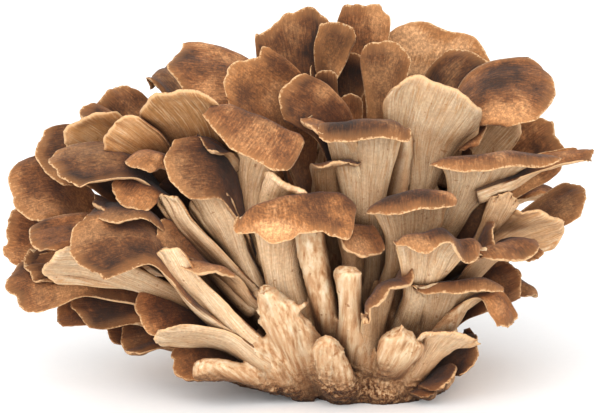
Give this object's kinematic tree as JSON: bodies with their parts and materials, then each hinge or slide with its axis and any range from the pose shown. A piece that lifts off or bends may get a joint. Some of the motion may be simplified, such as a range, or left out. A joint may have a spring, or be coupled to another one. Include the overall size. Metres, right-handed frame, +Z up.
{
  "type": "mushroom cluster",
  "caption": "Whole cluster mushroom: a cut core that it stands on, carrying overlapping wavy fan-shaped caps on flattened stalks.",
  "frame": {"origin": "on the cut face under the core, between the roots of the front fronds, at floor level", "axes": "+X right along the cluster's width, -Y towards the side seen first, +Z up"},
  "size_m": [0.2348, 0.1902, 0.1504],
  "materials": {
    "core": "matt fibrous cream flesh, granular brown at the cut base",
    "frond": "matt velvety brown cap skin, cream ribbed underside"
  },
  "bodies": {
    "root": {"core": "core", "back_frond_1": "frond", "back_frond_2": "frond", "back_frond_3": "frond", "back_frond_4": "frond", "back_frond_5": "frond", "back_frond_6": "frond", "back_frond_7": "frond", "centre_cap": "frond", "centre_curl": "frond", "centre_pleat": "frond", "centre_right_roll": "frond", "centre_tall": "frond", "crown_cup": "frond", "crown_left": "frond", "crown_right": "frond", "far_left": "frond", "far_left_low": "frond", "far_left_upper": "frond", "front_funnel": "frond", "front_saddle": "frond", "left_arch": "frond", "left_behind_cap": "frond", "left_big_oval": "frond", "left_fan_outer": "frond", "left_fan_upper": "frond", "left_low_dark": "frond", "left_low_fan": "frond", "left_low_fold": "frond", "left_low_tongue": "frond", "left_mid_cap": "frond", "left_mid_lip": "frond", "left_roll": "frond", "left_small_roll": "frond", "left_stalks": "frond", "left_top_cap": "frond", "left_upper_cap": "frond", "right_back_cap": "frond", "right_bottom_fan": "frond", "right_bottom_lip": "frond", "right_centre_fan": "frond", "right_disc": "frond", "right_edge_cap": "frond", "right_fan_upper": "frond", "right_lobe_cap": "frond", "right_low_fan": "frond", "right_low_roll": "frond", "right_mid_fan": "frond", "right_mid_fold": "frond", "right_saddle": "frond", "right_stalks": "frond", "right_tongue": "frond", "top_right_fan": "frond", "upper_left_big": "frond", "upper_left_fan": "frond", "upper_mid_cap": "frond"}
  },
  "joints": []
}
